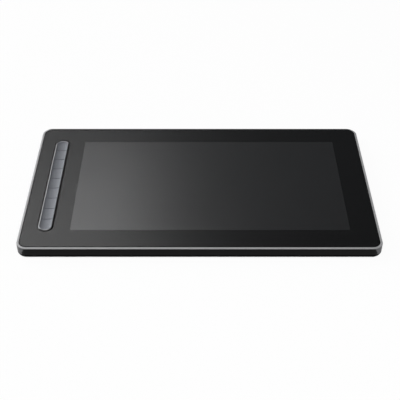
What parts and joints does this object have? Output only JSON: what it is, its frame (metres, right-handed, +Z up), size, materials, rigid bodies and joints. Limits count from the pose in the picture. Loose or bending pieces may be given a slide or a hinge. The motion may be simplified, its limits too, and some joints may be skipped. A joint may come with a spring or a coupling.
{
  "type": "graphics tablet with screen",
  "caption": "Flat pen display with a black glass face, a rounded metal rim, a slot of dished keys on the left, rubber feet and sockets in the rear edge.",
  "frame": {"origin": "under the middle of the body, on the plane that the feet stand on", "axes": "+X to the right of the person drawing, +Y towards the rear edge, +Z up out of the glass"},
  "size_m": [0.3774, 0.2244, 0.0131],
  "materials": {
    "cover_glass": "etched, low glare",
    "border_ink": "screen printed ink",
    "tape": "foam tape",
    "frame": "bead blasted and anodised dark",
    "back_cover": "fine texture",
    "feet": "matt",
    "screws": "black zinc",
    "adhesive": "clear gel",
    "polariser": "dark film",
    "cell_glass": "thin display glass",
    "film": "milky film",
    "light_guide": "clear moulding",
    "reflector": "white film",
    "backlight_frame": "white moulding",
    "tray": "pressed sheet",
    "flex": "amber film",
    "led": "phosphor",
    "chip": "moulded",
    "connector": "moulded",
    "board": "green lacquer",
    "sensor_board": "green lacquer",
    "shield": "foil",
    "support_plate": "rolled sheet",
    "cable": "flat cable",
    "dome": "snap dome",
    "bead": "satin metallic grey",
    "keys": "satin metallic grey",
    "socket_shell": "nickel plated",
    "buttons": "fine texture",
    "plunger": "moulded",
    "light_pipe": "clear rod"
  },
  "bodies": {
    "tablet": {"cover_glass": "cover_glass", "border_print": "border_ink", "glass_tape": "tape", "mid_frame": "frame", "back_cover": "back_cover", "front_left_foot": "feet", "front_right_foot": "feet", "rear_left_foot": "feet", "rear_right_foot": "feet", "cover_screws": "screws", "inner_screws": "screws", "optical_adhesive": "adhesive", "front_polariser": "polariser", "rear_polariser": "polariser", "colour_filter_glass": "cell_glass", "array_glass": "cell_glass", "diffuser_film": "film", "prism_films": "film", "light_guide": "light_guide", "reflector_sheet": "reflector", "backlight_frame": "backlight_frame", "backlight_tray": "tray", "led_strip": "flex", "panel_flexes": "flex", "backlight_leds": "led", "status_led": "led", "driver_chips": "chip", "board_chips": "chip", "board_connectors": "connector", "side_switch_bodies": "connector", "usb_tongues": "connector", "panel_drive_board": "board", "main_board": "board", "key_board": "board", "pen_sensor_board": "sensor_board", "sensor_shield": "shield", "support_plate": "support_plate", "display_cable": "cable", "sensor_cable": "cable", "key_cable": "cable", "key_domes": "dome", "key_surround": "bead", "usb_socket_left": "socket_shell", "usb_socket_right": "socket_shell", "light_pipe": "light_pipe"},
    "key_1": {"key_1": "keys"},
    "key_2": {"key_2": "keys"},
    "key_3": {"key_3": "keys"},
    "key_4": {"key_4": "keys"},
    "key_5": {"key_5": "keys"},
    "key_6": {"key_6": "keys"},
    "key_7": {"key_7": "keys"},
    "key_8": {"key_8": "keys"},
    "key_9": {"key_9": "keys"},
    "power_button": {"power_button": "buttons", "power_plunger": "plunger"},
    "brightness_up_button": {"brightness_up_button": "buttons", "brightness_up_plunger": "plunger"},
    "brightness_down_button": {"brightness_down_button": "buttons", "brightness_down_plunger": "plunger"}
  },
  "joints": [
    {"name": "key_1_press", "type": "slide", "parent": "tablet", "child": "key_1", "axis": [0, 0, -1], "range_m": [0, 0.00035], "stiffness_N_per_m": 500, "deforming": ["key_domes"]},
    {"name": "key_2_press", "type": "slide", "parent": "tablet", "child": "key_2", "axis": [0, 0, -1], "range_m": [0, 0.00035], "stiffness_N_per_m": 500, "deforming": ["key_domes"]},
    {"name": "key_3_press", "type": "slide", "parent": "tablet", "child": "key_3", "axis": [0, 0, -1], "range_m": [0, 0.00035], "stiffness_N_per_m": 500, "deforming": ["key_domes"]},
    {"name": "key_4_press", "type": "slide", "parent": "tablet", "child": "key_4", "axis": [0, 0, -1], "range_m": [0, 0.00035], "stiffness_N_per_m": 500, "deforming": ["key_domes"]},
    {"name": "key_5_press", "type": "slide", "parent": "tablet", "child": "key_5", "axis": [0, 0, -1], "range_m": [0, 0.00035], "stiffness_N_per_m": 500, "deforming": ["key_domes"]},
    {"name": "key_6_press", "type": "slide", "parent": "tablet", "child": "key_6", "axis": [0, 0, -1], "range_m": [0, 0.00035], "stiffness_N_per_m": 500, "deforming": ["key_domes"]},
    {"name": "key_7_press", "type": "slide", "parent": "tablet", "child": "key_7", "axis": [0, 0, -1], "range_m": [0, 0.00035], "stiffness_N_per_m": 500, "deforming": ["key_domes"]},
    {"name": "key_8_press", "type": "slide", "parent": "tablet", "child": "key_8", "axis": [0, 0, -1], "range_m": [0, 0.00035], "stiffness_N_per_m": 500, "deforming": ["key_domes"]},
    {"name": "key_9_press", "type": "slide", "parent": "tablet", "child": "key_9", "axis": [0, 0, -1], "range_m": [0, 0.00035], "stiffness_N_per_m": 500, "deforming": ["key_domes"]},
    {"name": "power_button_press", "type": "slide", "parent": "tablet", "child": "power_button", "axis": [0, -1, 0], "range_m": [0, 0.0004], "stiffness_N_per_m": 500},
    {"name": "brightness_up_button_press", "type": "slide", "parent": "tablet", "child": "brightness_up_button", "axis": [0, -1, 0], "range_m": [0, 0.0004], "stiffness_N_per_m": 500},
    {"name": "brightness_down_button_press", "type": "slide", "parent": "tablet", "child": "brightness_down_button", "axis": [0, -1, 0], "range_m": [0, 0.0004], "stiffness_N_per_m": 500}
  ]
}
